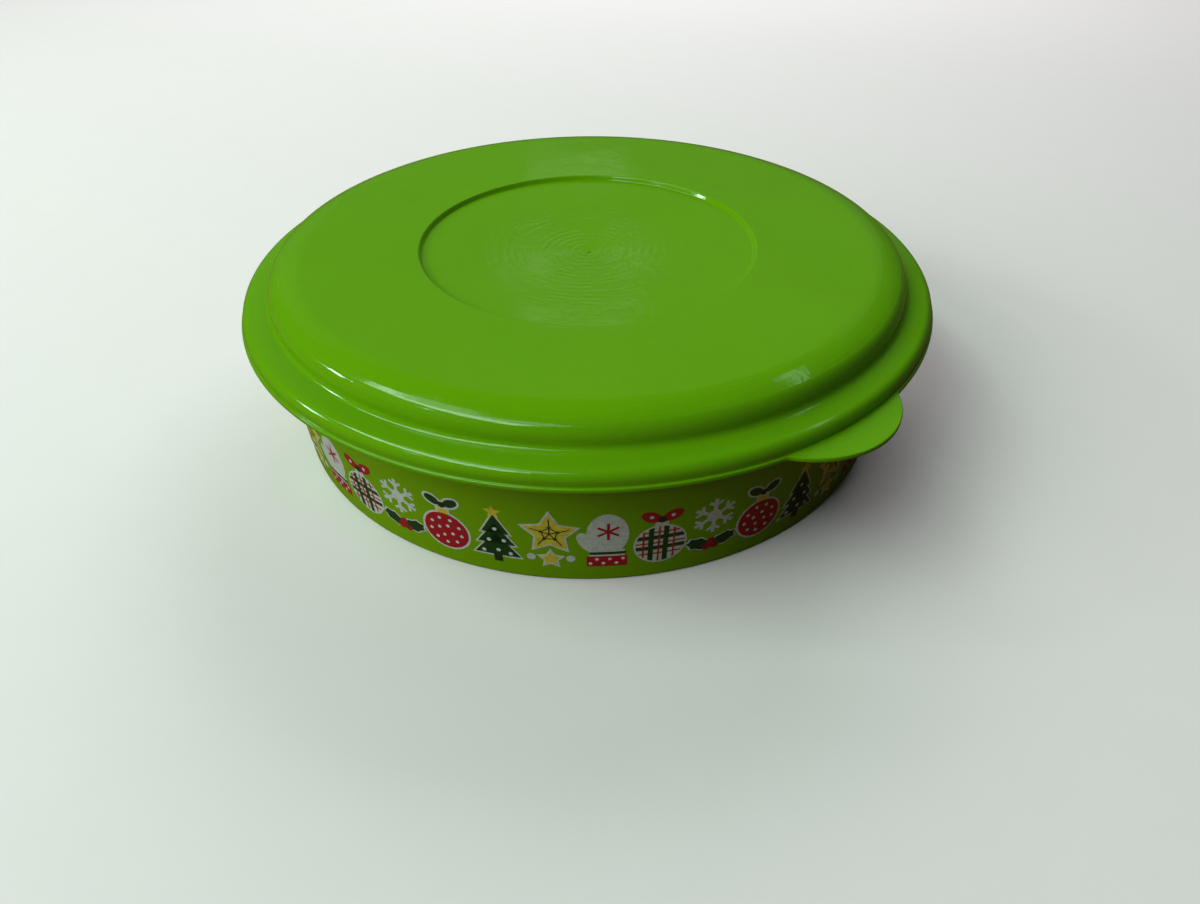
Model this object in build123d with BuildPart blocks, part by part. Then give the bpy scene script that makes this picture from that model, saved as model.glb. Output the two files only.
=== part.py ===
"""A round tortilla keeper: a tapered bowl and a domed lid that seals on its rim.

Both pieces are injection mouldings with walls of even thickness.  The bowl
stands on a narrow foot ring at z = 0 with its axis on Z.  The lid's pull tab
points to -Y.  All sizes are in millimetres.
"""

import os
from math import atan2, hypot, radians, sqrt, tan

from build123d import *

# ------------------------------------------------------------------ bowl sizes
foot_radius = 116.0  # outside of the wall where it meets the table
wall_draft = 4.0  # outward lean of the wall, in degrees
bowl_wall = 2.0  # thickness of the wall
bowl_floor = 2.0  # thickness of the floor
foot_width = 3.4  # flat ring that the bowl stands on
foot_height = 1.8  # the floor's underside is this far above the table
foot_bevel = 0.8  # outer corner of the foot
floor_bevel = 5.0  # inner corner between floor and wall
bowl_height = 54.9  # top of the rim
collar_step = 2.4  # the wall steps out under the rim, so that stacked bowls part
collar_rise = 2.4  # height that the step takes
collar_room = 1.8  # the step starts this far below the foot of the lid's plug
rim_reach = 4.8  # the rim stands out from the collar by this much
rim_wall = 1.8  # thickness of the rim and of its turned-down edge
rim_drop = 3.2  # depth of the turned-down edge
rim_bevel = 1.3  # outer corner of the rim

# --------------------------------------------------- ribs on the bowl's floor
rib_count = 16
rib_width = 2.4
rib_height = 1.4
rib_length = 78.0
rib_middle = 63.0  # distance of the ribs' middles from the axis
rib_root = 0.6  # the ribs run this far into the floor

# ----------------------------------------------------- fit of the lid on the rim
seal_gap = 0.3  # clearance wherever the lid comes nearest to the bowl
plug_room = 0.7  # the plug's plain wall to the collar's bore
skirt_room = 0.9  # the skirt's plain wall to the rim
seat_slope = 7.5  # outward fall of the rim's top and of the lid's shoulder, in degrees

# ------------------------------------------------------------------- lid sizes
lid_wall = 1.8
dome_rise = 9.55  # crown of the dome above its foot
dome_set = 0.3  # the dome's foot stands outside the plug by this much
crown_bevel = 3.4  # gentle corner round the top
brow_round = 6.0  # rounding between the sloping brow and the dome's side
brow_slope = 28.0  # downward slope of the brow, in degrees
brow_drop = 3.8  # the corner under the rounding is this far below the crown
side_lean = 5.0  # inward lean of the dome's side, in degrees
skirt_depth = 7.3  # foot of the dome to the underside of the lip
skirt_lean = 1.5  # outward lean of the skirt, in degrees
lip_reach = 0.8  # the lip stands out from the skirt by this much
lip_thickness = 1.7
lip_bevel = 0.5
top_dish = 1.7  # the top falls by this much from the crown in to the sunk centre
recess_radius = 63.4  # middle of the slope round the sunk centre
recess_depth = 1.8
recess_run = 2.4  # run of that slope
plug_depth = 6.5  # from the shoulder's underside
plug_lead = 0.8  # bevel that guides the plug into the bowl
bead_height = 1.6  # height of the seal bead and of the snap bead
tab_round = 32.0  # radius of the tab's D-shaped end
tab_reach = 10.4  # the tab stands out from the lip by this much
tab_corner = 3.0  # hollow corners where the tab leaves the lip
lid_gate_radius = 1.0
lid_gate_height = 0.35

# ------------------------------------------------------------ sizes worked out
shoulder_under = bowl_height + seal_gap
plug_bottom = shoulder_under - plug_depth
floor_top = foot_height + bowl_floor
wall_slope = tan(radians(wall_draft))
collar_top = plug_bottom - collar_room
collar_height = collar_top - collar_rise
wall_top_radius = foot_radius + collar_height * wall_slope
collar_radius = wall_top_radius + collar_step
collar_bore = collar_radius - bowl_wall
rim_radius = collar_radius + rim_reach
rim_bottom = bowl_height - rim_drop


def seat(radius):
    """Height of the rim's sloping top at a radius."""
    return bowl_height - (radius - collar_bore) * tan(radians(seat_slope))


def shoulder(radius):
    """Height of the top of the lid's shoulder at a radius."""
    return seat(radius) + seal_gap + lid_wall


plug_radius = collar_bore - plug_room
seal_height = shoulder_under - plug_depth / 2
dome_radius = plug_radius + dome_set
dome_top = shoulder(dome_radius) + dome_rise
lip_under = shoulder(dome_radius) - skirt_depth
lip_top = lip_under + lip_thickness
shoulder_hollow = rim_bevel + skirt_room - seal_gap
shoulder_bevel = shoulder_hollow + lid_wall * (2 - sqrt(2))
plug_bore = dome_radius - lid_wall
skirt_bore = rim_radius + skirt_room
skirt_radius = skirt_bore + lid_wall
skirt_spread = (shoulder_under - lip_under) * tan(radians(skirt_lean))
lip_radius = skirt_radius + skirt_spread + lip_reach
brow_radius = dome_radius - (dome_rise - brow_drop) * tan(radians(side_lean))
crown_radius = brow_radius - brow_drop / tan(radians(brow_slope))
recess_top = dome_top - top_dish
recess_floor = recess_top - recess_depth
recess_shift = lid_wall * tan(atan2(recess_depth, recess_run) / 2)
ceiling = dome_top - lid_wall
ceiling_edge = crown_radius - lid_wall * tan(radians(brow_slope / 2))
brow_under = ceiling - (plug_bore - ceiling_edge) * tan(radians(brow_slope))
tab_centre = lip_radius + tab_reach - tab_round

# ------------------------------------------------------------------------ bowl
# Half section: under the floor, up the outside to the rim, down the inside.
with BuildPart() as bowl:
    with BuildSketch(Plane.XZ) as bowl_section:
        with BuildLine():
            Polyline(
                (0, foot_height),
                (foot_radius - foot_width, foot_height),
                (foot_radius - foot_width, 0),
                (foot_radius, 0),
                (wall_top_radius, collar_height),
                (collar_radius, collar_top),
                (collar_radius, seat(collar_radius) - rim_wall),
                (rim_radius - rim_wall, seat(rim_radius - rim_wall) - rim_wall),
                (rim_radius - rim_wall, rim_bottom),
                (rim_radius, rim_bottom),
                (rim_radius, seat(rim_radius)),
                (collar_bore, bowl_height),
                (collar_bore, collar_top),
                (wall_top_radius - bowl_wall, collar_height),
                (foot_radius + floor_top * wall_slope - bowl_wall, floor_top),
                (0, floor_top),
                close=True,
            )
        make_face()
        corners = bowl_section.vertices()
        chamfer(corners.group_by(Axis.Y)[0].sort_by(Axis.X)[-1], foot_bevel)
        chamfer(corners.group_by(Axis.X)[-1].sort_by(Axis.Y)[-1], rim_bevel)
        chamfer(corners.filter_by_position(Axis.Y, floor_top, floor_top).sort_by(Axis.X)[-1], floor_bevel)
    revolve(axis=Axis.Z)

    # Ribs that hold the tortillas off the moisture on the floor.
    with BuildSketch(Plane.XY.offset(floor_top - rib_root)):
        with PolarLocations(rib_middle, rib_count):
            Rectangle(rib_length, rib_width)
    extrude(amount=rib_root + rib_height)
bowl.part.label = "bowl"

# ------------------------------------------------------------------------- lid
# Half section: the top from the axis outwards, then the underside back to it.
top_side = [
    (0, recess_floor),
    (recess_radius - recess_run / 2, recess_floor),
    (recess_radius + recess_run / 2, recess_top),
    (crown_radius, dome_top),
    (brow_radius, dome_top - brow_drop),
    (dome_radius, shoulder(dome_radius)),
    (skirt_radius - shoulder_bevel, shoulder(skirt_radius - shoulder_bevel)),
    (skirt_radius, shoulder(skirt_radius) - shoulder_bevel),
    (skirt_radius + skirt_spread, lip_under),
]
snap_and_rim = [
    (rim_radius + seal_gap, lip_under),
    (skirt_bore + skirt_spread, lip_under + bead_height),
    (skirt_bore, seat(skirt_bore) + seal_gap - shoulder_hollow),
    (skirt_bore - shoulder_hollow, seat(skirt_bore - shoulder_hollow) + seal_gap),
]
plug_side = [
    (plug_radius, seat(plug_radius) + seal_gap),
    (plug_radius, seal_height + bead_height / 2),
    (collar_bore - seal_gap, seal_height),
    (plug_radius, seal_height - bead_height / 2),
    (plug_radius, plug_bottom + plug_lead),
    (plug_radius - plug_lead, plug_bottom),
    (plug_bore, plug_bottom),
]
dome_inside = [
    (plug_bore, brow_under),
    (ceiling_edge, ceiling),
    (recess_radius + recess_run / 2 + recess_shift, recess_top - lid_wall),
    (recess_radius - recess_run / 2 + recess_shift, recess_floor - lid_wall),
    (0, recess_floor - lid_wall),
]
under_side = snap_and_rim + plug_side + dome_inside


def stands_proud(line):
    """Is the middle of the edge on the outline of the lip or the tab?"""
    middle = line @ 0.5
    return hypot(middle.X, middle.Y) > lip_radius - lip_reach / 2


with BuildPart() as lid:
    with BuildSketch(Plane.XZ) as lid_section:
        with BuildLine():
            Polyline(*top_side, *under_side, close=True)
        make_face()
        corners = lid_section.vertices()
        chamfer(corners.filter_by_position(Axis.X, crown_radius, crown_radius), crown_bevel)
        chamfer(corners.filter_by_position(Axis.X, plug_bore, plug_bore).sort_by(Axis.Y)[-1], lid_wall)
        fillet(lid_section.vertices().filter_by_position(Axis.X, brow_radius, brow_radius), brow_round)
    revolve(axis=Axis.Z)

    # Lip and pull tab: one flat plate round the foot of the skirt.
    with BuildSketch(Plane.XY.offset(lip_under)):
        Circle(lip_radius)
        with Locations((0, -tab_centre)):
            Circle(tab_round)
        Circle(skirt_bore + lid_wall / 2, mode=Mode.SUBTRACT)
    extrude(amount=lip_thickness)
    fillet(lid.edges().filter_by(Axis.Z).sort_by(Axis.Y)[:2], tab_corner)
    lip_edges = lid.edges().filter_by_position(Axis.Z, lip_top, lip_top)
    chamfer(lip_edges.filter_by(stands_proud), lip_bevel)

    # Mark of the moulding gate at the middle of the sunk centre.
    with BuildSketch(Plane.XY.offset(recess_floor)):
        Circle(lid_gate_radius)
    extrude(amount=lid_gate_height)
lid.part.label = "lid"

# ---------------------------------------------------------------------- export
os.makedirs("parts", exist_ok=True)
export_step(bowl.part, "parts/bowl.step")
export_step(lid.part, "parts/lid.step")
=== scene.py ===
"""A round plastic tortilla keeper: moulded lid and bowl, printed band and studio.

Lengths are in metres.  The keeper stands on z = 0 with its axis on Z, and the
lid's pull tab points to -Y.  Each moulding is a class that shapes its half
section, spins it and dresses it; each finish is a frozen dataclass.
"""

import logging
import math
from dataclasses import dataclass, field
from enum import Enum
from typing import Callable, Iterable, Optional, Union

import bmesh
import bpy
from mathutils import Matrix, Vector


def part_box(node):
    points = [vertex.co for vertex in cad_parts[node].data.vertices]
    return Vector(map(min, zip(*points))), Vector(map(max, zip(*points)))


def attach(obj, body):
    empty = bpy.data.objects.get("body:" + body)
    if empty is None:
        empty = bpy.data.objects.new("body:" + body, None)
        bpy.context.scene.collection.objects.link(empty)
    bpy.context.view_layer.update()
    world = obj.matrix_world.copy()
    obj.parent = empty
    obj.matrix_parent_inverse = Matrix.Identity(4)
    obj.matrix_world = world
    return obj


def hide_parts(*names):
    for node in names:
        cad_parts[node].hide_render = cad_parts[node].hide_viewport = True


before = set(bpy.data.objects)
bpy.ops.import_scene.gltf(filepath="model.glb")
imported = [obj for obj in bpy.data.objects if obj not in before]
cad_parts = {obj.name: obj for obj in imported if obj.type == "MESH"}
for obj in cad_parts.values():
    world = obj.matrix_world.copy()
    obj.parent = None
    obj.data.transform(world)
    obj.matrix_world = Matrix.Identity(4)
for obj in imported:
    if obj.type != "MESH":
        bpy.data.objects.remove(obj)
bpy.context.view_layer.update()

log = logging.getLogger("tortilla_keeper")

MM = 0.001
TAB_HEADING = math.radians(-90)
SEAT_SLOPE = math.tan(math.radians(7.5))

WINDOW_TINT = (0.72, 1.0, 0.80)
LAMP_TARGET = (0, 0, 0.06)

MERGE_DISTANCE = 0.004 * MM
LEAST_STEPS = 2
QUARTER_TURN_STEPS = 4
STEPS_PER_ROOT_MM = 3
DISC_SIDES = 28

Shape = bmesh.types.BMesh
Span = tuple[float, float]
Triple = tuple[float, float, float]
Colour = Triple
Number = Union[float, "Value"]


def linear(red: int, green: int, blue: int) -> Colour:
    """Turn an 8-bit display colour into linear light.

    Args:
        red: Red, 0 to 255.
        green: Green, 0 to 255.
        blue: Blue, 0 to 255.

    Returns:
        The three channels in linear light, 0 to 1.
    """
    def channel(level: int) -> float:
        """Turn one channel into linear light."""
        share = level / 255
        return share / 12.92 if share <= 0.04045 else ((share + 0.055) / 1.055) ** 2.4

    return channel(red), channel(green), channel(blue)


# ---- shader maths
class Value:
    """A number in a node tree, with Python's operators as Math nodes."""

    def __init__(self, shader: "Shader", socket: bpy.types.NodeSocket) -> None:
        """Wrap one output socket of a shader's tree."""
        self.shader = shader
        self.socket = socket

    def _math(self, operation: str, first: Number, second: Number) -> "Value":
        """Add a Math node for one operation on two numbers."""
        return self.shader.node("ShaderNodeMath", {"operation": operation}, {0: first, 1: second})

    def __add__(self, other: Number) -> "Value":
        """Sum."""
        return self._math("ADD", self, other)

    def __sub__(self, other: Number) -> "Value":
        """Difference."""
        return self._math("SUBTRACT", self, other)

    def __rsub__(self, other: Number) -> "Value":
        """Difference with this value on the right."""
        return self._math("SUBTRACT", other, self)

    def __mul__(self, other: Number) -> "Value":
        """Product."""
        return self._math("MULTIPLY", self, other)

    __radd__ = __add__
    __rmul__ = __mul__

    def clamped(self, low: float, high: float) -> "Value":
        """Stretch the range low to high to 0 to 1, smoothly, and clamp it."""
        return self.shader.node("ShaderNodeMapRange", {"interpolation_type": "SMOOTHSTEP"},
                                {"Value": self, "From Min": low, "From Max": high})


class Shader:
    """The node tree of a material or of the world, built from few words."""

    def __init__(self, holder: Union[bpy.types.Material, bpy.types.World]) -> None:
        """Empty a tree.

        Args:
            holder: The material or world that has the tree.
        """
        holder.use_nodes = True
        self.holder = holder
        self.tree = holder.node_tree
        self.tree.nodes.clear()

    def node(self, kind: str, settings: Optional[dict] = None, inputs: Optional[dict] = None,
             output: Union[int, str] = 0) -> Value:
        """Add a node, set it and feed it.

        Args:
            kind: The node's type.
            settings: Attributes of the node, set first.
            inputs: Numbers, colours or Values by the socket's name or index.
            output: The output socket to return.

        Returns:
            That output as a Value.
        """
        made = self.tree.nodes.new(kind)
        for name, setting in (settings or {}).items():
            setattr(made, name, setting)
        for key, given in (inputs or {}).items():
            socket = made.inputs[key]
            if isinstance(given, Value):
                self.tree.links.new(given.socket, socket)
            elif isinstance(given, tuple) and len(given) == 3 and socket.type == "RGBA":
                socket.default_value = (*given, 1.0)
            else:
                socket.default_value = given
        return Value(self, made.outputs[output] if len(made.outputs) else None)

    def vector(self, operation: str, *operands: Union[tuple, Value],
               output: Union[int, str] = 0) -> Value:
        """Add a Vector Math node with its vectors and return one of its outputs."""
        return self.node("ShaderNodeVectorMath", {"operation": operation},
                         dict(enumerate(operands)), output)

    def place(self, stretch: Triple = (1, 1, 1)) -> Value:
        """Object coordinates, in metres, stretched along the axes.

        Args:
            stretch: Factors along X, Y and Z.

        Returns:
            The coordinates.
        """
        source = self.node("ShaderNodeTexCoord", output="Object")
        if stretch == (1, 1, 1):
            return source
        return self.node("ShaderNodeMapping", {}, {"Vector": source, "Scale": stretch})

    def noise(self, size: float, detail: float = 2.0, rough: float = 0.5, twist: float = 0.0,
              place: Optional[Value] = None) -> Value:
        """Smooth noise, 0 to 1, about 0.5.

        Args:
            size: Length of one blotch, in metres.
            detail: Octaves beyond the first.
            rough: Weight of the finer octaves.
            twist: Distortion.
            place: Coordinates, or Object coordinates if None.

        Returns:
            The noise.
        """
        return self.node("ShaderNodeTexNoise", {}, {
            "Vector": place or self.place(), "Scale": 1 / size, "Detail": detail,
            "Roughness": rough, "Distortion": twist})

    def blend(self, share: Value, first: Union[Colour, Value],
              second: Union[Colour, Value]) -> Value:
        """Mix two colours; a share of 0 gives the first and 1 the second."""
        return self.node("ShaderNodeMix", {"data_type": "RGBA"}, {0: share, 6: first, 7: second}, 2)

    def relief(self, *layers: tuple[Value, float]) -> Value:
        """Turn heights, 0 to 1, into one normal.

        Args:
            layers: Each height with the real height of 1, in metres.

        Returns:
            The normal.
        """
        last = {}
        for height, depth in layers:
            inputs = {"Height": height, "Distance": depth, "Strength": 1.0, **last}
            last = {"Normal": self.node("ShaderNodeBump", {}, inputs)}
        return last["Normal"]

    def finish(self, inputs: dict) -> bpy.types.Material:
        """Close the tree with a Principled surface.

        Args:
            inputs: The surface's sockets.

        Returns:
            The material.
        """
        surface = self.node("ShaderNodeBsdfPrincipled", {}, inputs)
        self.node("ShaderNodeOutputMaterial", {}, {"Surface": surface})
        return self.holder


# ---- finishes
@dataclass(frozen=True)
class Plastic:
    """What the two moulded plastics share; lengths in metres."""

    colour: Colour
    deep_colour: Colour
    cloud_size: float
    cloud_twist: float
    cloud_share: float
    speck_size: float
    speck_rough: float
    roughness: float
    bleed: float
    bleed_radius: Triple
    bleed_scale: float = 0.003
    refraction: float = 1.5

    def tone(self, shader: Shader) -> tuple[Value, Value]:
        """Colour in clouds and specks.

        Args:
            shader: The shader.

        Returns:
            The colour, and the roughness that goes with the specks.
        """
        cloud = shader.noise(self.cloud_size, detail=3, twist=self.cloud_twist)
        speck = shader.noise(self.speck_size, detail=2)
        share = cloud * self.cloud_share + speck * (1 - self.cloud_share)
        colour = shader.blend(share, self.deep_colour, self.colour)
        return colour, speck * self.speck_rough + self.roughness

    def close(self, shader: Shader, colour: Value, roughness: Value,
              normal: Value) -> bpy.types.Material:
        """Close the shader with the plastic's own surface.

        Args:
            shader: The shader.
            colour: Base colour.
            roughness: Roughness.
            normal: Normal.

        Returns:
            The material.
        """
        return shader.finish({
            "Base Color": colour, "Roughness": roughness, "Normal": normal,
            "IOR": self.refraction, "Subsurface Weight": self.bleed,
            "Subsurface Radius": self.bleed_radius, "Subsurface Scale": self.bleed_scale})


@dataclass(frozen=True)
class LidPlastic(Plastic):
    """Satin bright green polyethylene, with the flow marks of its moulding."""

    name: str = "lid_green"
    colour: Colour = linear(98, 156, 4)
    deep_colour: Colour = linear(92, 149, 2)
    cloud_size: float = 0.045
    cloud_twist: float = 0.4
    cloud_share: float = 0.75
    speck_size: float = 0.0016
    speck_rough: float = 0.06
    roughness: float = 0.06
    bleed: float = 0.12
    bleed_radius: Triple = (0.6, 1.0, 0.2)
    scuff_colour: Colour = linear(150, 190, 90)
    scuff_size: float = 0.004
    scuff_stretch: Triple = (0.6, 0.6, 5)
    scuff_range: Span = (0.62, 0.80)
    scuff_share: float = 0.12
    peel: float = 0.0045
    peel_depth: float = 0.00008
    swell: float = 0.030
    swell_depth: float = 0.00025
    streak_width: float = 0.0013
    streak_turn: float = 5.0
    streak_depth: float = 0.00002
    ring_pitch: float = 0.0032
    ring_depth: float = 0.00009
    ring_start: float = 0.004
    ring_reach: float = 0.060
    ring_warp: float = 0.012
    ring_warp_share: float = 1.6
    ring_break: float = 0.011
    ring_break_range: Span = (0.42, 0.68)

    def rings(self, shader: Shader, radius: Value) -> Value:
        """Broken rings that fade out round the gate.

        Args:
            shader: The shader.
            radius: Distance from the axis.

        Returns:
            The rings' height, 0 to 1.
        """
        warp = shader.noise(self.ring_warp, detail=2) * (self.ring_pitch * self.ring_warp_share)
        ring = shader.node("ShaderNodeMath", {"operation": "SINE"},
                           {0: (radius + warp) * (math.tau / self.ring_pitch)})
        broken = shader.noise(self.ring_break, detail=3, rough=0.6, twist=0.8)
        fade = 1 - radius.clamped(self.ring_start, self.ring_reach)
        return ring * (fade * broken.clamped(*self.ring_break_range)) * 0.5 + 0.5

    def streaks(self, shader: Shader, place: Value, flat: Value, radius: Value) -> Value:
        """Fine flow lines that run round the axis.

        Args:
            shader: The shader.
            place: Object coordinates.
            flat: The same without the height.
            radius: Distance from the axis.

        Returns:
            The streaks' height, 0 to 1.
        """
        rise = shader.node("ShaderNodeSeparateXYZ", {}, {0: place}, output="Z")
        across = shader.node("ShaderNodeCombineXYZ", {},
                             {"Z": (radius - rise) * (1 / self.streak_width)})
        around = shader.vector("MULTIPLY_ADD", shader.vector("NORMALIZE", flat),
                               (self.streak_turn,) * 3, across)
        return shader.noise(1.0, detail=3, rough=0.6, twist=0.5, place=around)

    def build(self) -> bpy.types.Material:
        """Build the finish.

        Returns:
            The material.
        """
        shader = Shader(bpy.data.materials.new(self.name))
        colour, roughness = self.tone(shader)
        scuff = shader.noise(self.scuff_size, detail=5, rough=0.75,
                             place=shader.place(self.scuff_stretch))
        worn = scuff.clamped(*self.scuff_range) * self.scuff_share
        place = shader.place()
        flat = shader.vector("MULTIPLY", place, (1, 1, 0))
        radius = shader.vector("LENGTH", flat, output="Value")
        normal = shader.relief(
            (self.rings(shader, radius), self.ring_depth),
            (self.streaks(shader, place, flat, radius), self.streak_depth),
            (shader.noise(self.peel, detail=3, rough=0.55, twist=0.6), self.peel_depth),
            (shader.noise(self.swell, detail=2), self.swell_depth))
        colour = shader.blend(worn, colour, self.scuff_colour)
        return self.close(shader, colour, worn + roughness, normal)


@dataclass(frozen=True)
class BowlPlastic(Plastic):
    """Glossy dark olive polypropylene that lets a little light through."""

    name: str = "bowl_olive"
    colour: Colour = linear(115, 166, 2)
    deep_colour: Colour = linear(104, 155, 1)
    cloud_size: float = 0.05
    cloud_twist: float = 0.5
    cloud_share: float = 0.8
    speck_size: float = 0.0012
    speck_rough: float = 0.04
    roughness: float = 0.15
    bleed: float = 0.15
    bleed_radius: Triple = (0.8, 1.0, 0.2)
    smear_size: float = 0.02
    smear_range: Span = (0.5, 0.8)
    smear_rough: float = 0.10
    ripple_size: float = 0.009
    ripple_depth: float = 0.00006
    grain_size: float = 0.0014
    grain_depth: float = 0.000006

    def build(self) -> bpy.types.Material:
        """Build the finish.

        Returns:
            The material.
        """
        shader = Shader(bpy.data.materials.new(self.name))
        colour, roughness = self.tone(shader)
        smear = shader.noise(self.smear_size, detail=4, rough=0.7).clamped(*self.smear_range)
        ripple = shader.noise(self.ripple_size, detail=2, place=shader.place((1, 1, 0.5)))
        grain = shader.noise(self.grain_size, detail=2)
        normal = shader.relief((ripple, self.ripple_depth), (grain, self.grain_depth))
        return self.close(shader, colour, smear * self.smear_rough + roughness, normal)


class Ink(Enum):
    """Inks of the band: name, colour and height of the face above the wall."""

    WHITE = ("white", linear(196, 206, 200), 0.03)
    GREEN = ("green", linear(20, 62, 26), 0.07)
    RED = ("red", linear(164, 22, 38), 0.07)
    YELLOW = ("yellow", linear(206, 196, 62), 0.07)
    DARK = ("dark", linear(34, 44, 26), 0.11)
    LIGHT = ("light", linear(206, 214, 208), 0.11)

    def __init__(self, word: str, colour: Colour, height: float) -> None:
        """Keep the name, the colour in linear light and the height in millimetres."""
        self.word, self.colour, self.height = word, colour, height


@dataclass(frozen=True)
class PrintInk:
    """Opaque ink, a little uneven, under the wall's gloss."""

    ink: Ink
    roughness: float = 0.28
    refraction: float = 1.5
    patch_size: float = 0.0015
    patch_range: Span = (0.35, 0.6)
    patch_rough: float = 0.12
    thin_shade: float = 0.80
    grain_size: float = 0.0006
    grain_depth: float = 0.000008

    def build(self) -> bpy.types.Material:
        """Build the finish.

        Returns:
            The material.
        """
        shader = Shader(bpy.data.materials.new("ink_" + self.ink.word))
        patch = shader.noise(self.patch_size, detail=4, rough=0.65)
        thin = tuple(self.thin_shade * channel for channel in self.ink.colour)
        normal = shader.relief((shader.noise(self.grain_size, detail=2), self.grain_depth))
        return shader.finish({
            "Base Color": shader.blend(patch.clamped(*self.patch_range), thin, self.ink.colour),
            "Roughness": patch * self.patch_rough + self.roughness, "IOR": self.refraction,
            "Normal": normal})


@dataclass(frozen=True)
class StudioPaper:
    """Matte paper of the floor, pale to the eye and darker to bounced light."""

    name: str = "studio_paper"
    colour: Colour = linear(228, 222, 224)
    bounce_colour: Colour = linear(100, 74, 40)
    tooth_size: float = 0.02
    tooth_shade: float = 0.97
    roughness: float = 0.85

    def build(self) -> bpy.types.Material:
        """Build the finish.

        Returns:
            The material.
        """
        shader = Shader(bpy.data.materials.new(self.name))
        tooth = shader.noise(self.tooth_size, detail=4)
        shade = tuple(self.tooth_shade * channel for channel in self.colour)
        pale = shader.blend(tooth, shade, self.colour)
        seen = shader.node("ShaderNodeLightPath", output="Is Camera Ray")
        return shader.finish({"Base Color": shader.blend(seen, self.bounce_colour, pale),
                              "Roughness": self.roughness})


# ---- mesh work
@dataclass(frozen=True)
class Corner:
    """A corner of a half section: radius, height and rounding, in millimetres."""

    r: float
    z: float
    round: float = 0.0


def wire_of(corners: list[Corner]) -> Shape:
    """Make a half section as a chain of edges, with its corners rounded.

    Args:
        corners: The section's corners, in order.

    Returns:
        The chain, in metres, in the XZ plane.
    """
    wire = bmesh.new()
    verts = [wire.verts.new((corner.r * MM, 0, corner.z * MM)) for corner in corners]
    for first, second in zip(verts, verts[1:]):
        wire.edges.new((first, second))
    for vert, corner in zip(verts, corners):
        if corner.round == 0:
            continue
        ways = [(edge.other_vert(vert).co - vert.co).normalized() for edge in vert.link_edges]
        turn = math.pi - ways[0].angle(ways[1])
        quarter = QUARTER_TURN_STEPS + STEPS_PER_ROOT_MM * math.sqrt(corner.round)
        steps = max(LEAST_STEPS, round(turn / (math.pi / 2) * quarter))
        bmesh.ops.bevel(wire, geom=[vert], offset=corner.round * MM * math.tan(turn / 2),
                        offset_type="OFFSET", affect="VERTICES", segments=steps, profile=0.5,
                        material=-1)
    return wire


def hold_flats(wire: Shape, reach: float = 0.25 * MM, longest: float = 14 * MM) -> None:
    """Put a point near each end of the straight runs, so that they shade flat.

    Args:
        wire: The chain of edges.
        reach: Distance of the new points from the ends.
        longest: No piece of a run stays longer than this.
    """
    for edge in [item for item in wire.edges if item.calc_length() > 4 * reach]:
        near, far = edge.verts
        _, vert = bmesh.utils.edge_split(edge, near, reach / edge.calc_length())
        rest = next(item for item in vert.link_edges if far in item.verts)
        bmesh.utils.edge_split(rest, far, reach / rest.calc_length())
    for edge in [item for item in wire.edges if item.calc_length() > longest]:
        cuts = math.ceil(edge.calc_length() / longest) - 1
        bmesh.ops.bisect_edges(wire, edges=[edge], cuts=cuts)


def spin_about_z(shape: Shape, start: float, sweeps: Iterable[tuple[float, int]]) -> None:
    """Spin a half section into a closed body of revolution.

    Args:
        shape: The chain of edges, which becomes the body.
        start: Heading at which the spin starts.
        sweeps: Angle and steps of each stretch of the full turn, in order.
    """
    section = [*shape.verts, *shape.edges]
    bmesh.ops.rotate(shape, verts=shape.verts, cent=(0, 0, 0),
                     matrix=Matrix.Rotation(start, 3, "Z"))
    for angle, steps in sweeps:
        made = bmesh.ops.spin(shape, geom=section, cent=(0, 0, 0), axis=(0, 0, 1), angle=angle,
                              steps=steps, use_merge=False, use_duplicate=False)
        section = made["geom_last"]
    bmesh.ops.remove_doubles(shape, verts=shape.verts, dist=MERGE_DISTANCE)
    bmesh.ops.recalc_face_normals(shape, faces=shape.faces)


def piece_of(name: str, shape: Shape, material: bpy.types.Material,
             smooth: bool = True) -> bpy.types.Object:
    """Turn a finished shape into an object of the scene.

    Args:
        name: The piece's name.
        shape: The shape, which is freed.
        material: The piece's material.
        smooth: Are its faces shaded smooth?

    Returns:
        The object, at the origin.
    """
    mesh = bpy.data.meshes.new(name)
    for face in shape.faces:
        face.smooth = smooth
    shape.to_mesh(mesh)
    shape.free()
    mesh.materials.append(material)
    made = bpy.data.objects.new(name, mesh)
    bpy.context.scene.collection.objects.link(made)
    log.info("%s: %d faces", name, len(mesh.polygons))
    return made


# ---- lid
LID_LOW, LID_HIGH = (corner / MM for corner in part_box("lid"))
_, BOWL_HIGH = (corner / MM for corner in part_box("bowl"))


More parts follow.
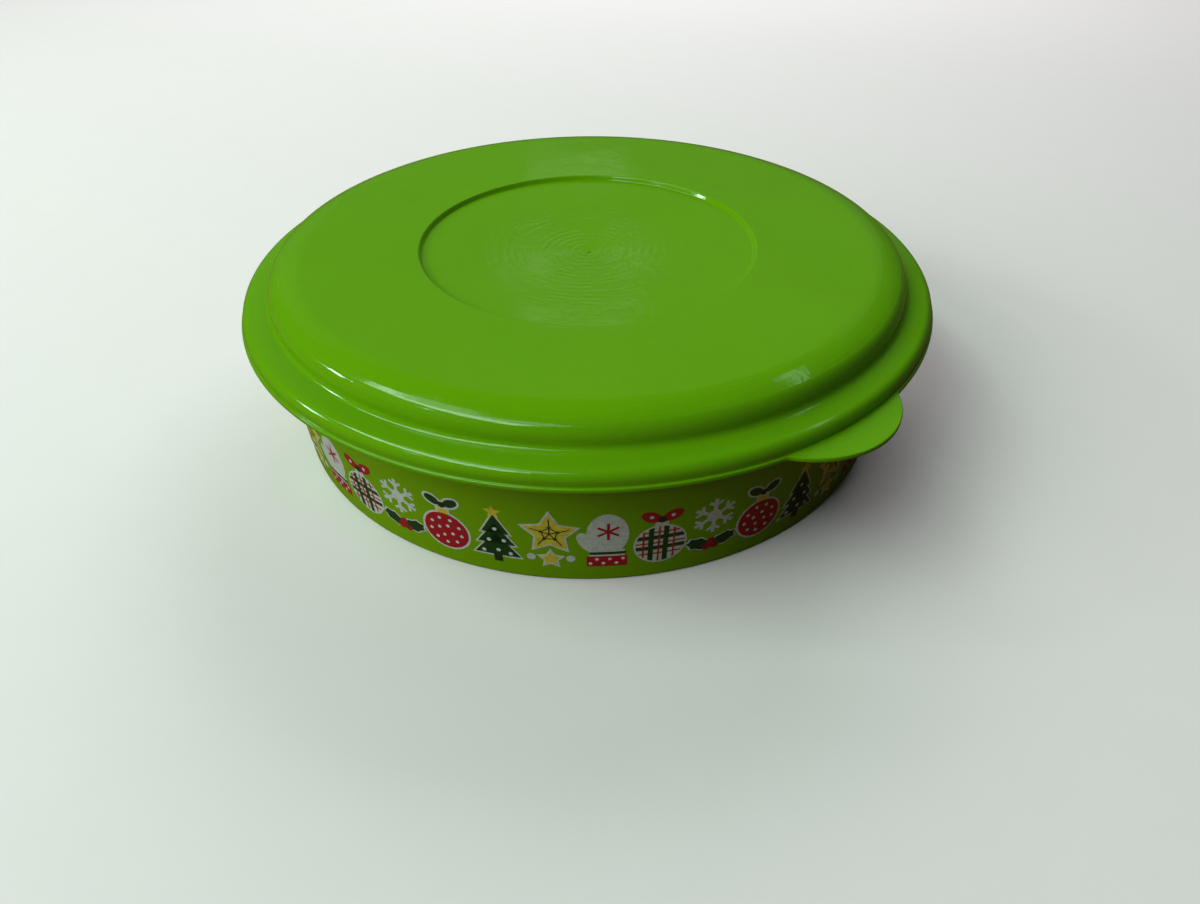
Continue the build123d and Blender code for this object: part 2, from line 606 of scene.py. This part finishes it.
@dataclass
class Lid:
    """The domed lid with its shoulder, skirt, lip, pull tab and plug; in millimetres."""

    finish: LidPlastic = field(default_factory=LidPlastic)
    wall: float = 1.8
    plug_bottom: float = LID_LOW.z
    plug_depth: float = 6.5
    lip_radius: float = LID_HIGH.x
    tab_tip: float = -LID_LOW.y
    dome_rise: float = 9.55
    crown_round: float = 19.4
    brow_round: float = 5.2
    brow_slope: float = 28.0
    brow_drop: float = 3.8
    side_lean: float = 5.0
    root_round: float = 1.8
    top_dish: float = 1.7
    recess_radius: float = 63.6
    recess_depth: float = 1.8
    recess_run: float = 1.1
    recess_round: float = 0.55
    centre_dish: float = 3.4
    shoulder_round: float = 3.2
    shoulder_hollow: float = 2.0
    skirt_depth: float = 7.3
    skirt_room: float = 0.9
    skirt_spread: float = 0.13
    lip_thickness: float = 1.7
    lip_reach: float = 0.8
    lip_round: float = 0.5
    plug_lead: float = 0.8
    seal_gap: float = 0.3
    plug_room: float = 0.7
    dome_set: float = 0.3
    bead_height: float = 1.6
    rim_span: float = 6.8
    tab_round: float = 32.0
    tab_hollow: float = 0.9
    gate_radius: float = 1.0
    gate_height: float = 0.35
    gate_root: float = 0.02
    gate_round: float = 0.2
    gate_root_round: float = 0.1
    dish_round: float = 300
    dish_share: float = 0.40
    skirt_foot_round: float = 0.2
    lip_hold: Span = (0.06, 0.03)
    snap_foot_round: float = 0.25
    snap_round: float = 0.5
    plug_root_round: float = 0.5
    seal_round: float = 0.4
    plug_round: float = 0.3
    tab_half_angle: float = math.radians(15)
    tab_steps: int = 90
    rest_steps: int = 300

    def __post_init__(self) -> None:
        """Work out the radii and heights that the section's corners hang on."""
        lean, slope = (math.tan(math.radians(turn)) for turn in (self.side_lean, self.brow_slope))
        self.dome_radius = BOWL_HIGH.x - self.rim_span - self.plug_room + self.dome_set
        self.brow_radius = self.dome_radius - (self.dome_rise - self.brow_drop) * lean
        self.crown_radius = self.brow_radius - self.brow_drop / slope
        self.skirt_foot = self.lip_radius - self.lip_reach
        self.dome_foot = self.under_shoulder(self.dome_radius) + self.wall
        self.dome_top = self.dome_foot + self.dome_rise
        self.recess_top = self.dome_top - self.top_dish
        self.recess_floor = self.recess_top - self.recess_depth
        self.recess_in = self.recess_radius - self.recess_run / 2
        self.recess_out = self.recess_radius + self.recess_run / 2
        self.lip_under = self.dome_foot - self.skirt_depth

    def under_shoulder(self, radius: float) -> float:
        """Height of the shoulder's sloping underside at a radius."""
        bore = BOWL_HIGH.x - self.rim_span
        return self.plug_bottom + self.plug_depth - (radius - bore) * SEAT_SLOPE

    def top_corners(self) -> list[Corner]:
        """List the half section's corners from the axis out to the lip's lower edge.

        Returns:
            The corners.
        """
        sunk = self.recess_floor - self.centre_dish
        lip_top = self.lip_under + self.lip_thickness
        hold = self.lip_radius - self.lip_round
        outer = self.skirt_foot - self.skirt_spread
        return [
            Corner(0, sunk + self.gate_height),
            Corner(self.gate_radius, sunk + self.gate_height, self.gate_round),
            Corner(self.gate_radius, sunk + self.gate_root, self.gate_root_round),
            Corner(self.recess_radius / 2, sunk + self.centre_dish * self.dish_share,
                   self.dish_round),
            Corner(self.recess_in, self.recess_floor, self.recess_round),
            Corner(self.recess_out, self.recess_top, self.recess_round),
            Corner(self.crown_radius, self.dome_top, self.crown_round),
            Corner(self.brow_radius, self.dome_top - self.brow_drop, self.brow_round),
            Corner(self.dome_radius, self.dome_foot, self.root_round),
            Corner(outer, self.under_shoulder(outer) + self.wall, self.shoulder_round),
            Corner(self.skirt_foot, lip_top, self.skirt_foot_round),
            *(Corner(hold - inset, lip_top) for inset in self.lip_hold),
            Corner(self.lip_radius, lip_top, self.lip_round),
            Corner(self.lip_radius, self.lip_under, self.lip_round),
            *(Corner(hold - inset, self.lip_under) for inset in reversed(self.lip_hold)),
        ]

    def under_corners(self) -> list[Corner]:
        """List the half section's corners from the snap bead back to the axis.

        Returns:
            The corners.
        """
        snug = BOWL_HIGH.x + self.seal_gap
        bore = BOWL_HIGH.x + self.skirt_room
        collar = BOWL_HIGH.x - self.rim_span
        plug = collar - self.plug_room
        inner = plug + self.dome_set - self.wall
        seal = self.plug_bottom + self.plug_depth / 2
        ceiling = self.dome_top - self.wall
        edge = self.crown_radius - self.wall * math.tan(math.radians(self.brow_slope / 2))
        drop = (inner - edge) * math.tan(math.radians(self.brow_slope))
        outset = self.wall * math.tan(math.atan2(self.recess_depth, self.recess_run) / 2)
        half = self.bead_height / 2
        sunk = self.recess_floor - self.wall
        fall = self.centre_dish * (1 - self.dish_share)
        return [
            Corner(snug, self.lip_under, self.snap_foot_round),
            Corner(bore + self.skirt_spread, self.lip_under + self.bead_height, self.snap_round),
            Corner(bore, self.under_shoulder(bore), self.shoulder_hollow),
            Corner(plug, self.under_shoulder(plug), self.plug_root_round),
            Corner(plug, seal + half, self.plug_round),
            Corner(collar - self.seal_gap, seal, self.seal_round),
            Corner(plug, seal - half, self.plug_round),
            Corner(plug, self.plug_bottom + self.plug_lead, self.plug_round),
            Corner(plug - self.plug_lead, self.plug_bottom, self.plug_round),
            Corner(inner, self.plug_bottom, self.plug_round),
            Corner(inner, ceiling - drop, self.brow_round - self.wall),
            Corner(edge, ceiling, self.crown_round - self.wall),
            Corner(self.recess_out + outset, self.recess_top - self.wall, self.recess_round),
            Corner(self.recess_in + outset, sunk, self.recess_round),
            Corner(self.recess_radius / 2, sunk - fall, self.dish_round),
            Corner(0, sunk - self.centre_dish),
        ]

    def tab_outline(self, angle: float) -> float:
        """Radius of the lip's outline at an angle from the tab's middle.

        Args:
            angle: Angle from the tab's middle, in radians.

        Returns:
            The larger of the lip's and the tab's radius, with hollow corners.
        """
        centre = self.tab_tip - self.tab_round
        half_chord = self.tab_round ** 2 - (centre * math.sin(angle)) ** 2
        if half_chord <= 0:
            return self.lip_radius
        tab = centre * math.cos(angle) + math.sqrt(half_chord)
        near = max(self.tab_hollow - abs(tab - self.lip_radius), 0) / self.tab_hollow
        fill = near * near * self.tab_hollow / 4
        return max(tab, self.lip_radius) + fill

    def draw_tab(self, shape: Shape) -> None:
        """Pull the lip's edge out to the tab's outline.

        Args:
            shape: The spun lid.
        """
        fixed = (self.lip_radius - self.lip_round - sum(self.lip_hold) / 2) * MM
        for vert in shape.verts:
            radius = math.hypot(vert.co.x, vert.co.y)
            if radius < fixed:
                continue
            angle = math.atan2(vert.co.y, vert.co.x) - TAB_HEADING
            grown = radius + (self.tab_outline(angle) - self.lip_radius) * MM
            vert.co.x *= grown / radius
            vert.co.y *= grown / radius

    def build(self) -> bpy.types.Object:
        """Shape and dress the lid.

        Returns:
            The lid, riding on its body.
        """
        shape = wire_of(self.top_corners() + self.under_corners())
        hold_flats(shape)
        near = 2 * self.tab_half_angle
        spin_about_z(shape, TAB_HEADING - near / 2,
                     [(near, self.tab_steps), (math.tau - near, self.rest_steps)])
        self.draw_tab(shape)
        lid = piece_of("lid_moulding", shape, self.finish.build())
        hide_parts("lid")
        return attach(lid, "lid")


# ---- bowl
@dataclass
class Bowl:
    """The bowl with its foot ring, collar, turned-down rim and floor ribs; in millimetres."""

    finish: BowlPlastic = field(default_factory=BowlPlastic)
    wall: float = 2.0
    foot_radius: float = 116.0
    draft: float = math.tan(math.radians(4.0))
    floor_under: float = 1.8
    floor_top: float = 3.8
    foot_width: float = 3.4
    floor_fillet: float = 6.0
    collar_rise: float = 2.4
    collar_top: float = LID_LOW.z - 1.8
    rim_radius: float = BOWL_HIGH.x
    rim_top: float = BOWL_HIGH.z
    rim_reach: float = 4.8
    rim_wall: float = 1.8
    rim_drop: float = 3.2
    rib_count: int = 16
    rib_length: float = 78.0
    rib_width: float = 2.4
    rib_height: float = 1.4
    rib_root: float = 0.6
    rib_middle: float = 63.0
    rib_round: float = 0.5
    rib_round_steps: int = 3
    foot_root_round: float = 0.6
    foot_inner_round: float = 0.5
    foot_outer_round: float = 1.2
    collar_round: float = 2.0
    hook_round: float = 0.6
    hem_round: float = 0.4
    rim_round: float = 1.4
    mouth_round: float = 0.8
    steps: int = 360

    def wall_radius(self, height: float) -> float:
        """Outside radius of the tapered wall at a height."""
        return self.foot_radius + height * self.draft

    def seat(self, radius: float) -> float:
        """Height of the rim's sloping top at a radius."""
        bore = self.rim_radius - self.rim_reach - self.wall
        return self.rim_top - (radius - bore) * SEAT_SLOPE

    def corners(self) -> list[Corner]:
        """List the half section's corners: under the floor, up the outside, down the inside.

        Returns:
            The corners.
        """
        step = self.collar_top - self.collar_rise
        collar = self.rim_radius - self.rim_reach
        hook = self.rim_radius - self.rim_wall
        hem = self.rim_top - self.rim_drop
        top = self.wall_radius(step)
        return [
            Corner(0, self.floor_under),
            Corner(self.foot_radius - self.foot_width, self.floor_under, self.foot_root_round),
            Corner(self.foot_radius - self.foot_width, 0, self.foot_inner_round),
            Corner(self.foot_radius, 0, self.foot_outer_round),
            Corner(top, step, self.collar_round),
            Corner(collar, self.collar_top, self.collar_round),
            Corner(collar, self.seat(collar) - self.rim_wall, self.hook_round),
            Corner(hook, self.seat(hook) - self.rim_wall, self.hook_round),
            Corner(hook, hem, self.hem_round),
            Corner(self.rim_radius, hem, self.hook_round),
            Corner(self.rim_radius, self.seat(self.rim_radius), self.rim_round),
            Corner(collar - self.wall, self.rim_top, self.mouth_round),
            Corner(collar - self.wall, self.collar_top, self.collar_round),
            Corner(top - self.wall, step, self.collar_round),
            Corner(self.wall_radius(self.floor_top) - self.wall, self.floor_top, self.floor_fillet),
            Corner(0, self.floor_top),
        ]

    def add_rib(self, shape: Shape, turn: float) -> None:
        """Stand one rounded rib on the floor.

        Args:
            shape: The bowl, which gains the rib.
            turn: Heading of the rib.
        """
        tall = self.rib_height + self.rib_root
        size = Matrix.Diagonal((self.rib_length * MM, self.rib_width * MM, tall * MM, 1))
        height = (self.floor_top - self.rib_root + tall / 2) * MM
        place = Matrix.Translation((self.rib_middle * MM, 0, height)) @ size
        made = bmesh.ops.create_cube(shape, size=1, matrix=Matrix.Rotation(turn, 4, "Z") @ place)
        edges = {edge for vert in made["verts"] for edge in vert.link_edges}
        lower = self.floor_top * MM
        upper = [edge for edge in edges if max(vert.co.z for vert in edge.verts) > lower]
        bmesh.ops.bevel(shape, geom=upper, offset=self.rib_round * MM, offset_type="OFFSET",
                        affect="EDGES", segments=self.rib_round_steps, profile=0.5, material=-1)

    def build(self) -> bpy.types.Object:
        """Shape and dress the bowl.

        Returns:
            The bowl, riding on its body.
        """
        shape = wire_of(self.corners())
        hold_flats(shape)
        spin_about_z(shape, 0, [(math.tau, self.steps)])
        for index in range(self.rib_count):
            self.add_rib(shape, math.tau * index / self.rib_count)
        bowl = piece_of("bowl_moulding", shape, self.finish.build())
        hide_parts("bowl")
        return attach(bowl, "bowl")


# ---- printed band
class Painter:
    """Draws one motif as flat figures, each in one ink; in millimetres."""

    def __init__(self) -> None:
        """Start with a bare sheet for each ink."""
        self.sheets = {ink: bmesh.new() for ink in Ink}

    @staticmethod
    def spot(x: float, y: float, turn: float, width: float = 1.0, height: float = 1.0) -> Matrix:
        """Matrix that sizes a figure, turns it by degrees and puts it in its place."""
        return (Matrix.Translation((x, y, 0)) @ Matrix.Rotation(math.radians(turn), 4, "Z")
                @ Matrix.Diagonal((width, height, 1, 1)))

    def disc(self, ink: Ink, x: float, y: float, radius: float, squash: float = 1.0,
             turn: float = 0.0, sides: int = DISC_SIDES) -> list[bmesh.types.BMVert]:
        """Draw a disc or an oval.

        Args:
            ink: The ink.
            x: Place across.
            y: Place up.
            radius: Half the width before the turn.
            squash: Height over width.
            turn: Turn, in degrees.
            sides: Corners of the outline.

        Returns:
            The outline's points.
        """
        made = bmesh.ops.create_circle(self.sheets[ink], cap_ends=True, segments=sides,
                                       radius=radius, matrix=self.spot(x, y, turn, 1, squash))
        return made["verts"]

    def star(self, ink: Ink, x: float, y: float, radius: float, waist: float) -> None:
        """Draw a star of five points, one of them up.

        Args:
            ink: The ink.
            x: Place across.
            y: Place up.
            radius: Reach of the points.
            waist: Radius of the notches over that of the points.
        """
        centre = Vector((x, y, 0))
        for vert in self.disc(ink, x, y, radius, sides=10):
            heading = math.atan2(vert.co.x - x, vert.co.y - y)
            if round(heading / (math.pi / 5)) % 2:
                vert.co = centre + (vert.co - centre) * waist

    def bar(self, ink: Ink, x: float, y: float, length: float, width: float,
            turn: float = 0.0) -> None:
        """Draw a straight bar about its middle, turned by degrees from level."""
        bmesh.ops.create_grid(self.sheets[ink], x_segments=1, y_segments=1, size=0.5,
                              matrix=self.spot(x, y, turn, length, width))

    def band(self, ink: Ink, x: float, y: float, radius: float, middle: float, width: float,
             turn: float) -> None:
        """Draw the part of a disc that lies in a straight band.

        Args:
            ink: The ink.
            x: Place of the disc across.
            y: Place of the disc up.
            radius: Radius of the disc.
            middle: Offset of the band from the disc's middle.
            width: Width of the band.
            turn: Heading of the band, in degrees from level.
        """
        slab = bmesh.new()
        bmesh.ops.create_circle(slab, cap_ends=True, segments=DISC_SIDES, radius=radius)
        for side in (-1, 1):
            bmesh.ops.bisect_plane(slab, geom=[*slab.verts, *slab.edges, *slab.faces],
                                   plane_co=(0, middle + side * width / 2, 0),
                                   plane_no=(0, side, 0), clear_outer=True)
        bmesh.ops.transform(slab, verts=slab.verts, matrix=self.spot(x, y, turn))
        carrier = bpy.data.meshes.new("carrier")
        slab.to_mesh(carrier)
        slab.free()
        self.sheets[ink].from_mesh(carrier)
        bpy.data.meshes.remove(carrier)

    def tier(self, ink: Ink, x: float, y: float, width: float, height: float) -> None:
        """Draw an upright triangle.

        Args:
            ink: The ink.
            x: Place of the middle across.
            y: Place of the base up.
            width: Width of the base.
            height: Height of the tip above the base.
        """
        verts = self.disc(ink, 0, 0, 1, sides=3)
        tip = max(verts, key=lambda vert: vert.co.y)
        for vert in verts:
            side = 0 if vert is tip else math.copysign(0.5, vert.co.x)
            vert.co = Vector((x + side * width, y + (height if vert is tip else 0), 0))


def bauble(paint: Painter) -> None:
    """A red bauble with white dots, a yellow cap and a small bow."""
    paint.disc(Ink.WHITE, 0, -3.6, 8.8)
    paint.bar(Ink.WHITE, 0, 6.2, 5.0, 4.4)
    paint.disc(Ink.RED, 0, -3.6, 8.0)
    paint.bar(Ink.YELLOW, 0, 5.2, 3.8, 2.4)
    for side in (-1, 1):
        paint.disc(Ink.WHITE, side * 3.2, 9.6, 3.7, squash=0.66, turn=side * 28)
        paint.disc(Ink.GREEN, side * 3.2, 9.6, 2.8, squash=0.60, turn=side * 28)
    paint.disc(Ink.DARK, 0, 8.2, 1.3, sides=14)
    for ring, count in ((2.5, 4), (5.6, 9)):
        for index in range(count):
            turn = math.tau * (index + 0.3 * ring) / count
            paint.disc(Ink.LIGHT, ring * math.cos(turn), ring * math.sin(turn) - 3.6, 0.66,
                       sides=10)


def fir(paint: Painter) -> None:
    """A dark green fir with white edges, berries and a yellow star."""
    paint.bar(Ink.DARK, 0, -10.8, 2.8, 3.6)
    for base, width, height in ((-9.6, 15.6, 10.5), (-4.2, 12.6, 9.2), (0.8, 9.2, 8.4)):
        paint.tier(Ink.WHITE, 0, base - 0.7, width + 2.0, height + 2.0)
        paint.tier(Ink.GREEN, 0, base, width, height)
    for x, y in ((-4.6, -8.2), (0.4, -7.2), (4.4, -8.2), (-2.4, -2.8), (2.6, -2.4), (0, 2.6)):
        paint.disc(Ink.LIGHT, x, y, 0.75, sides=10)
    paint.star(Ink.YELLOW, 0, 10.2, 3.0, 0.45)


def lattice_star(paint: Painter) -> None:
    """A yellow star crossed by dark lines, over a small one."""
    for y, reach in ((3.2, 9.4), (-8.6, 4.0)):
        paint.star(Ink.WHITE, 0, y, reach + 0.9, 0.52)
        paint.star(Ink.YELLOW, 0, y, reach - 0.5, 0.52)
    for index in range(5):
        turn = 90 + 72 * index
        across, up = math.cos(math.radians(turn)), math.sin(math.radians(turn))
        paint.bar(Ink.DARK, 3.3 * across, 3.3 * up + 3.2, 6.6, 0.38, turn)
        paint.bar(Ink.DARK, -2.2 * across, -2.2 * up + 3.2, 4.8, 0.38, turn + 90)
    for side in (-1, 1):
        paint.disc(Ink.WHITE, side * 6.4, -8.2, 1.5, sides=14)


def mitten(paint: Painter) -> None:
    """A white mitten with a red cuff and a red flake."""
    paint.disc(Ink.WHITE, 0.6, 3.0, 6.7, squash=1.38)
    paint.disc(Ink.WHITE, -5.6, -0.6, 2.7, squash=1.9, turn=32)
    paint.bar(Ink.WHITE, 0.4, -6.0, 11.4, 4.0)
    paint.bar(Ink.RED, 0.4, -9.4, 13.0, 4.8)
    paint.bar(Ink.GREEN, 0.6, -5.6, 11.6, 1.2)
    for index in range(6):
        paint.disc(Ink.LIGHT, 2.1 * index - 4.9, -9.4 + (index % 2 - 0.5) * 2, 0.62, sides=10)
    for turn in (30, 90, 150):
        paint.bar(Ink.RED, 0.8, 4.4, 7.6, 0.9, turn)


def plaid_bauble(paint: Painter) -> None:
    """A white bauble crossed by red and green bands, with a red bow."""
    paint.disc(Ink.WHITE, 0, -3.4, 8.8)
    paint.bar(Ink.WHITE, 0, 6.0, 4.4, 4.0)
    for offset, width, ink in ((-4.3, 0.6, Ink.RED), (-1.6, 1.7, Ink.GREEN), (0.6, 0.6, Ink.RED),
                               (3.2, 1.7, Ink.GREEN), (5.6, 0.6, Ink.RED)):
        for turn in (0, 90):
            paint.band(ink, 0, -3.4, 8.2, offset, width, turn)
    for side in (-1, 1):
        paint.disc(Ink.RED, side * 3.4, 9.2, 3.5, squash=0.62, turn=side * 28)
        paint.disc(Ink.LIGHT, side * 3.4, 9.2, 0.7, sides=10)
    paint.disc(Ink.DARK, 0, 7.8, 1.4, sides=14)


def flake_and_holly(paint: Painter) -> None:
    """A white six-armed snowflake over two holly leaves with red berries."""
    for index in range(6):
        turn = 60 * index + 30
        heading = math.radians(turn)
        along, across = math.cos(heading), math.sin(heading)
        paint.bar(Ink.WHITE, 3.8 * along, 3.8 * across + 4.6, 7.6, 1.4, turn)
        for side in (-1, 1):
            branch = math.radians(turn + 55 * side)
            paint.bar(Ink.WHITE, 4.6 * along + 1.4 * math.cos(branch),
                      4.6 * across + 1.4 * math.sin(branch) + 4.6, 3.0, 1.1, turn + 55 * side)
    paint.disc(Ink.WHITE, 0, 4.6, 2.6, sides=12)
    for turn in (160, 20):
        heading = math.radians(turn)
        x, y = 4.7 * math.cos(heading), 4.7 * math.sin(heading) - 9.0
        for ink, length in ((Ink.WHITE, 5.6), (Ink.GREEN, 4.7)):
            verts = paint.disc(ink, 0, 0, length, squash=0.58, sides=14)
            verts.sort(key=lambda item: math.atan2(item.co.y, item.co.x))
            for vert in verts[::2]:
                vert.co *= 0.80
            bmesh.ops.transform(paint.sheets[ink], verts=verts, matrix=paint.spot(x, y, turn))
    for x, y in ((-1.4, -9.4), (1.4, -9.4), (0, -7.2)):
        paint.disc(Ink.RED, x, y, 1.6, sides=16)


Motif = Callable[[Painter], None]


@dataclass
class PrintedBand:
    """The band of seasonal motifs printed round the bowl's wall; in millimetres."""

    bowl: Bowl
    motifs: tuple[Motif, ...] = (bauble, fir, lattice_star, mitten, plaid_bauble, flake_and_holly)
    rounds: int = 7
    middle: float = 18.8
    first_heading: float = math.radians(3)
    slice_width: float = 2.0
    sunk: float = 0.03

    def drawn(self, motif: Motif) -> dict[Ink, bpy.types.Mesh]:
        """Draw one motif flat, give its inks thickness and slice them to bend.

        Args:
            motif: The motif's drawing function.

        Returns:
            A flat mesh for each ink; z is 0 at the wall and 1 at the ink's face.
        """
        paint = Painter()
        motif(paint)
        made = {}
        for ink, sheet in paint.sheets.items():
            widest = max((abs(vert.co.x) for vert in sheet.verts), default=0)
            slices = int(widest / self.slice_width)
            for index in range(-slices, slices + 1):
                bmesh.ops.bisect_plane(sheet, geom=[*sheet.verts, *sheet.edges, *sheet.faces],
                                       plane_co=(index * self.slice_width, 0, 0),
                                       plane_no=(1, 0, 0))
            raised = bmesh.ops.extrude_face_region(sheet, geom=sheet.faces[:])
            top = [item for item in raised["geom"] if isinstance(item, bmesh.types.BMVert)]
            bmesh.ops.translate(sheet, verts=top, vec=(0, 0, 1))
            bmesh.ops.recalc_face_normals(sheet, faces=sheet.faces)
            mesh = bpy.data.meshes.new(ink.word)
            sheet.to_mesh(mesh)
            sheet.free()
            made[ink] = mesh
        return made

    def wrap(self, verts: Iterable[bmesh.types.BMVert], heading: float, ink: Ink) -> None:
        """Bend flat figures onto the tapered wall.

        Args:
            verts: The figures' points, in millimetres.
            heading: Heading of the motif's middle.
            ink: The ink, which sets the height of the face.
        """
        girth = self.bowl.wall_radius(self.middle)
        for vert in verts:
            x, y, z = vert.co
            height = self.middle + y
            lift = ink.height if z > 0.5 else -self.sunk
            radius = self.bowl.wall_radius(height) + lift
            angle = heading + x / girth
            vert.co = Vector((radius * math.cos(angle), radius * math.sin(angle), height)) * MM

    def build(self) -> list[bpy.types.Object]:
        """Print the band.

        Returns:
            One piece for each ink, riding on the bowl.
        """
        sheets = {ink: bmesh.new() for ink in Ink}
        count = len(self.motifs) * self.rounds
        for first, motif in enumerate(self.motifs):
            for ink, mesh in self.drawn(motif).items():
                for place in range(first, count, len(self.motifs)):
                    heading = self.first_heading + math.tau * place / count
                    known = len(sheets[ink].verts)
                    sheets[ink].from_mesh(mesh)
                    sheets[ink].verts.ensure_lookup_table()
                    self.wrap(sheets[ink].verts[known:], heading, ink)
                bpy.data.meshes.remove(mesh)
        made = []
        for ink, sheet in sheets.items():
            piece = piece_of("print_" + ink.word, sheet, PrintInk(ink).build(), smooth=False)
            made.append(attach(piece, "bowl"))
        return made


# ---- studio
@dataclass(frozen=True)
class SoftBox:
    """A rectangular lamp that faces the keeper; angles in degrees, seen from the keeper."""

    name: str
    heading: float
    rise: float
    distance: float
    width: float
    height: float
    power: float
    tint: Colour = (1.0, 1.0, 1.0)
    mirrored: bool = True

    def build(self) -> None:
        """Hang the lamp."""
        light = bpy.data.lights.new(self.name, "AREA")
        light.shape = "RECTANGLE"
        light.size = self.width
        light.size_y = self.height
        light.energy = self.power
        light.color = self.tint
        lamp = bpy.data.objects.new(self.name, light)
        lamp.visible_glossy = self.mirrored
        heading, rise = math.radians(self.heading), math.radians(self.rise)
        level = self.distance * math.cos(rise)
        out = Vector((level * math.cos(heading), level * math.sin(heading),
                      self.distance * math.sin(rise)))
        lamp.location = Vector(LAMP_TARGET) + out
        lamp.rotation_mode = "QUATERNION"
        lamp.rotation_quaternion = (-out).to_track_quat("-Z", "Y")
        bpy.context.scene.collection.objects.link(lamp)


@dataclass
class Studio:
    """Pale floor, soft light and the camera."""

    floor_radius: float = 1.6
    floor_sides: int = 96
    paper: StudioPaper = field(default_factory=StudioPaper)
    ambient: float = 0.03
    backdrop: float = 0.80
    air: Colour = (0.96, 1.0, 0.98)
    image_width: int = 1200
    focal_pixels: float = 867.0
    sensor_width: float = 36.0
    clip: Span = (0.01, 50)
    camera_place: Triple = (-0.1895, -0.2452, 0.2105)
    camera_heading: Span = (0.6225, 0.7826)
    camera_pitch: float = math.radians(38.96)
    camera_roll: float = math.radians(-0.29)

    # Name, heading, rise, distance, width, height and power; metres, degrees and watts.
    lamps: tuple[SoftBox, ...] = (
        SoftBox("strip", 164.5, 56, 1.34, 1.37, 0.26, 7.7, WINDOW_TINT),
        SoftBox("strip_high", 168, 68, 1.34, 1.3, 0.24, 2.0, WINDOW_TINT),
        SoftBox("wall", 58, 24, 1.50, 2.1, 1.1, 0.36),
        SoftBox("wall_patch", 53, 25, 1.40, 0.17, 0.045, 0.010),
        SoftBox("glint", 140, 26, 1.30, 0.15, 0.13, 2.0, WINDOW_TINT),
        SoftBox("glint_high", 171, 40, 1.30, 0.10, 0.06, 0.2, WINDOW_TINT),
        SoftBox("edge", -7, 51, 1.30, 0.55, 0.07, 0.22, WINDOW_TINT),
        SoftBox("left", 170, 29, 2.40, 1.9, 1.1, 34.5, mirrored=False),
        SoftBox("back", 75, 28, 1.50, 1.2, 0.7, 3.4, mirrored=False),
        SoftBox("right", 38, 32, 1.50, 1.2, 0.7, 12.2, mirrored=False),
    )

    def build_floor(self) -> None:
        """Lay the floor."""
        shape = bmesh.new()
        bmesh.ops.create_circle(shape, cap_ends=True, segments=self.floor_sides,
                                radius=self.floor_radius)
        floor = piece_of("studio_floor", shape, self.paper.build())

    def build_world(self) -> None:
        """Surround the keeper with even pale light."""
        world = bpy.data.worlds.new("studio_world")
        shader = Shader(world)
        seen = shader.node("ShaderNodeLightPath", output="Is Camera Ray")
        strength = seen * (self.backdrop - self.ambient) + self.ambient
        light = shader.node("ShaderNodeBackground", {}, {"Color": self.air, "Strength": strength})
        shader.node("ShaderNodeOutputWorld", {}, {"Surface": light})
        bpy.context.scene.world = world

    def build_camera(self) -> None:
        """Stand the camera."""
        data = bpy.data.cameras.new("studio_camera")
        data.sensor_width = self.sensor_width
        data.sensor_fit = "HORIZONTAL"
        data.lens = data.sensor_width * self.focal_pixels / self.image_width
        data.clip_start, data.clip_end = self.clip
        east, north = self.camera_heading
        level = math.cos(self.camera_pitch)
        forward = Vector((east * level, north * level, -math.sin(self.camera_pitch))).normalized()
        right = Vector((north, -east, 0)).normalized()
        up = right.cross(forward)
        cos, sin = math.cos(self.camera_roll), math.sin(self.camera_roll)
        axes = Matrix((right * cos + up * sin, up * cos - right * sin, -forward)).transposed()
        camera = bpy.data.objects.new("studio_camera", data)
        camera.matrix_world = Matrix.Translation(self.camera_place) @ axes.to_4x4()
        bpy.context.scene.collection.objects.link(camera)
        bpy.context.scene.camera = camera

    def build(self) -> None:
        """Set up the whole studio."""
        self.build_floor()
        self.build_world()
        for lamp in self.lamps:
            lamp.build()
        self.build_camera()
        bpy.context.scene.view_settings.view_transform = "Standard"


def main() -> None:
    """Build the keeper and its studio."""
    logging.basicConfig(level=logging.INFO, format="%(name)s: %(message)s")
    bowl = Bowl()
    Lid().build()
    bowl.build()
    PrintedBand(bowl).build()
    Studio().build()


if __name__ == "__main__":
    main()
